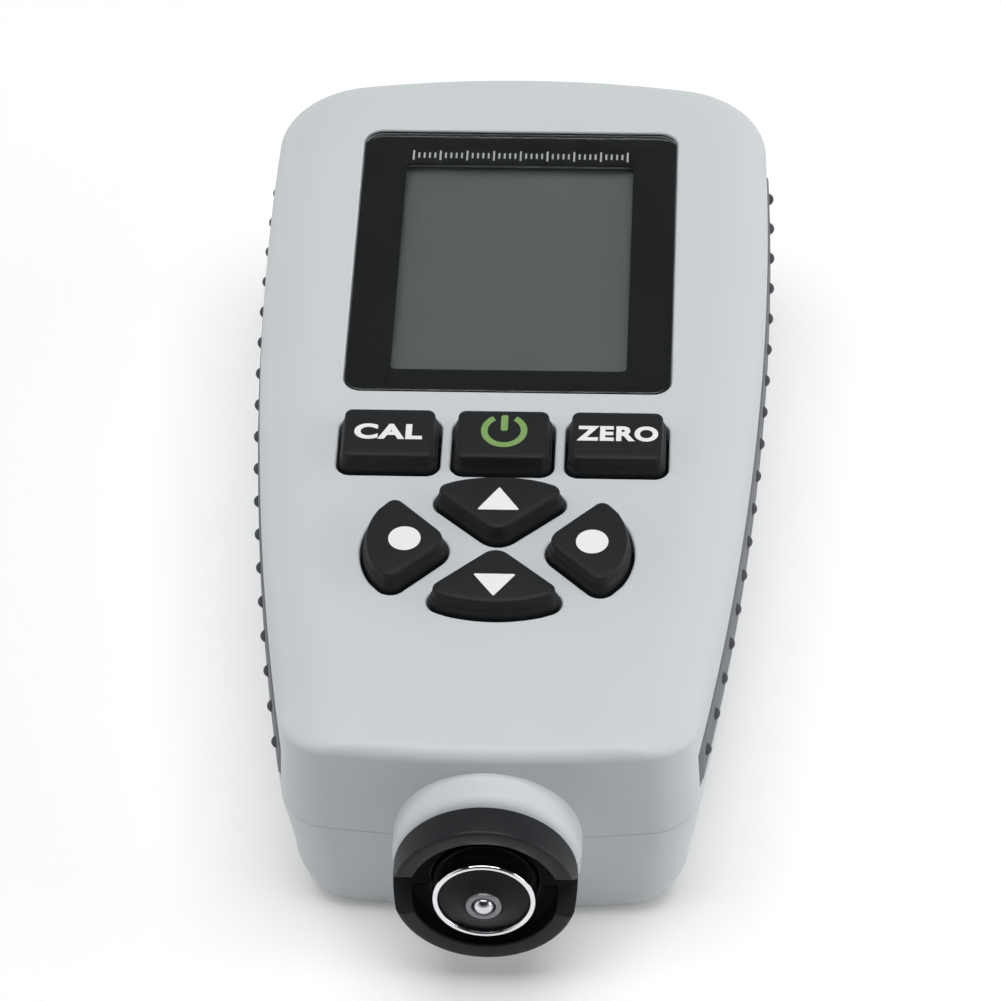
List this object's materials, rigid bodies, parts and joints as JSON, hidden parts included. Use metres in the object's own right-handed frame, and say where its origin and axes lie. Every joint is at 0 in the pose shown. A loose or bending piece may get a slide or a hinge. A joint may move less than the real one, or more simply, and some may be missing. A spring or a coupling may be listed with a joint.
{
  "type": "coating thickness gauge",
  "caption": "Hand-held coating thickness gauge: tapered two-part housing, dark display window, rubber keys, side grips and a sprung probe in a vee-grooved collar.",
  "frame": {"origin": "middle of the bounding box's bottom, on the plane of the flat back", "axes": "+Z out of the back's opposite side, up from the table; +Y towards the display end, the probe points to -Y; +X to the right seen from the probe end"},
  "size_m": [0.062, 0.1238, 0.0329],
  "materials": {
    "shell_plastic": "fine satin moulded plastic",
    "grip_rubber": "matt rubber with raised bumps",
    "window_acrylic": "clear flat acrylic",
    "gasket_black": "black frame under the window",
    "lcd_grey": "grey-green blank display glass",
    "white_plastic": "plain moulded plastic",
    "zebra_rubber": "striped contact rubber",
    "key_rubber": "satin silicone rubber",
    "board_green": "solder mask on board",
    "part_black": "plain moulded plastic",
    "cell_jacket": "plain printed sleeve without marks",
    "plain_steel": "nickel-plated steel",
    "collar_black": "satin moulded plastic",
    "sleeve_chrome": "polished plated sleeve",
    "core_black": "satin moulded plastic",
    "coil_copper": "enamelled copper winding",
    "tip_steel": "ground hard metal",
    "lead_black": "soft insulated wire"
  },
  "bodies": {
    "housing": {"front_shell": "shell_plastic", "rear_shell": "shell_plastic", "left_grip": "grip_rubber", "right_grip": "grip_rubber", "display_window": "window_acrylic", "window_gasket": "gasket_black", "lcd_panel": "lcd_grey", "lcd_holder": "white_plastic", "lead_plug": "white_plastic", "zebra_strips": "zebra_rubber", "keypad_mat": "key_rubber", "main_board": "board_green", "controller_chip": "part_black", "buzzer": "part_black", "probe_end_cap": "part_black", "battery_cells": "cell_jacket", "battery_springs": "plain_steel", "battery_plates": "plain_steel", "housing_screws": "plain_steel", "board_screws": "plain_steel", "probe_spring": "plain_steel", "probe_collar": "collar_black", "probe_lead": "lead_black"},
    "cal_key_body": {"cal_key": "key_rubber"},
    "power_key_body": {"power_key": "key_rubber"},
    "zero_key_body": {"zero_key": "key_rubber"},
    "up_key_body": {"up_key": "key_rubber"},
    "down_key_body": {"down_key": "key_rubber"},
    "left_key_body": {"left_key": "key_rubber"},
    "right_key_body": {"right_key": "key_rubber"},
    "probe": {"probe_sleeve": "sleeve_chrome", "probe_core": "core_black", "probe_coil": "coil_copper", "tip_bush": "tip_steel", "probe_tip": "tip_steel"},
    "door": {"battery_door": "shell_plastic"}
  },
  "joints": [
    {"name": "cal_press", "type": "slide", "parent": "housing", "child": "cal_key_body", "axis": [0, 0.0523, -0.9986], "range_m": [0, 0.0007], "stiffness_N_per_m": 1400},
    {"name": "power_press", "type": "slide", "parent": "housing", "child": "power_key_body", "axis": [0, 0.0523, -0.9986], "range_m": [0, 0.0007], "stiffness_N_per_m": 1400},
    {"name": "zero_press", "type": "slide", "parent": "housing", "child": "zero_key_body", "axis": [0, 0.0523, -0.9986], "range_m": [0, 0.0007], "stiffness_N_per_m": 1400},
    {"name": "up_press", "type": "slide", "parent": "housing", "child": "up_key_body", "axis": [0, 0.0523, -0.9986], "range_m": [0, 0.0007], "stiffness_N_per_m": 1400},
    {"name": "down_press", "type": "slide", "parent": "housing", "child": "down_key_body", "axis": [0, 0.0523, -0.9986], "range_m": [0, 0.0007], "stiffness_N_per_m": 1400},
    {"name": "left_press", "type": "slide", "parent": "housing", "child": "left_key_body", "axis": [0, 0.0523, -0.9986], "range_m": [0, 0.0007], "stiffness_N_per_m": 1400},
    {"name": "right_press", "type": "slide", "parent": "housing", "child": "right_key_body", "axis": [0, 0.0523, -0.9986], "range_m": [0, 0.0007], "stiffness_N_per_m": 1400},
    {"name": "probe_press", "type": "slide", "parent": "housing", "child": "probe", "axis": [0, 1, 0], "range_m": [0, 0.0026], "stiffness_N_per_m": 400, "springref_m": -0.001, "deforming": ["probe_spring"]},
    {"name": "door_slide", "type": "slide", "parent": "housing", "child": "door", "axis": [0, 1, 0], "range_m": [0, 0.04]}
  ]
}
